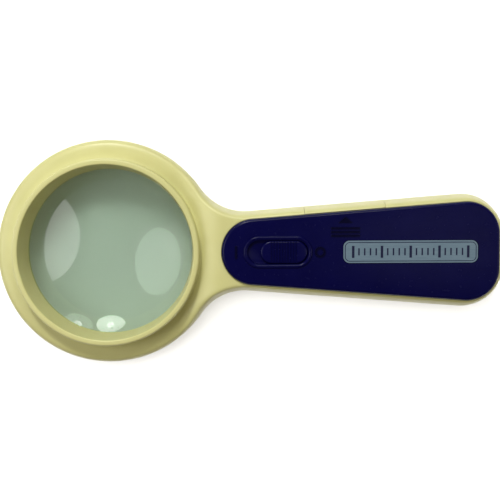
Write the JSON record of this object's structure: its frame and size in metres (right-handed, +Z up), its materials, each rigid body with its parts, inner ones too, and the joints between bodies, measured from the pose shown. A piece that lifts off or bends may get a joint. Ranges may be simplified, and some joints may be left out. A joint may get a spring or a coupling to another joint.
{
  "type": "illuminated low vision magnifier",
  "caption": "Hand-held low vision magnifier with a round lens inside a raised collar, a flat tapering handle, a slide switch and a coin cell drawer.",
  "frame": {"origin": "middle of the footprint, on the surface that the back of the magnifier lies on", "axes": "+X from the lens to the end of the handle, +Y to the side that the battery drawer opens on, +Z up, out of the front"},
  "size_m": [0.18, 0.0794, 0.0176],
  "materials": {
    "ivory_plastic": "satin moulded",
    "navy_plastic": "satin, finely textured",
    "lens_acrylic": "polished",
    "silver_foil": "brushed and printed",
    "black_plastic": "moulded",
    "phenolic": "laminated",
    "board_green": "solder mask",
    "lamp_epoxy": "water clear",
    "plated_steel": "nickel plated",
    "cell_steel": "drawn and brushed",
    "contact_brass": "stamped",
    "gasket_black": "moulded",
    "insulation_red": "extruded",
    "insulation_black": "extruded"
  },
  "bodies": {
    "housing": {"front_housing": "ivory_plastic", "rear_housing": "ivory_plastic", "lens": "lens_acrylic", "handle_cover": "navy_plastic", "name_plate": "silver_foil", "switch_can": "plated_steel", "switch_base": "phenolic", "switch_terminal_1": "contact_brass", "switch_terminal_2": "contact_brass", "switch_terminal_3": "contact_brass", "circuit_board": "board_green", "resistor": "black_plastic", "board_screw_1": "plated_steel", "board_screw_2": "plated_steel", "lamp_1": "lamp_epoxy", "lamp_1_anode": "plated_steel", "lamp_1_cathode": "plated_steel", "lamp_2": "lamp_epoxy", "lamp_2_anode": "plated_steel", "lamp_2_cathode": "plated_steel", "contact_negative": "contact_brass", "contact_positive": "contact_brass", "wire_negative": "insulation_black", "wire_positive": "insulation_red", "housing_screw_1": "plated_steel", "housing_screw_2": "plated_steel", "housing_screw_3": "plated_steel", "housing_screw_4": "plated_steel"},
    "switch": {"switch_knob": "navy_plastic", "switch_lever": "black_plastic", "switch_wiper": "contact_brass"},
    "drawer": {"battery_drawer": "ivory_plastic", "cell_1_can": "cell_steel", "cell_1_cap": "cell_steel", "cell_1_gasket": "gasket_black", "cell_2_can": "cell_steel", "cell_2_cap": "cell_steel", "cell_2_gasket": "gasket_black"}
  },
  "joints": [
    {"name": "switch_slide", "type": "slide", "parent": "housing", "child": "switch", "axis": [-1, 0, 0], "range_m": [0, 0.0042]},
    {"name": "drawer_slide", "type": "slide", "parent": "housing", "child": "drawer", "axis": [0, 1, 0], "range_m": [0, 0.027]}
  ]
}
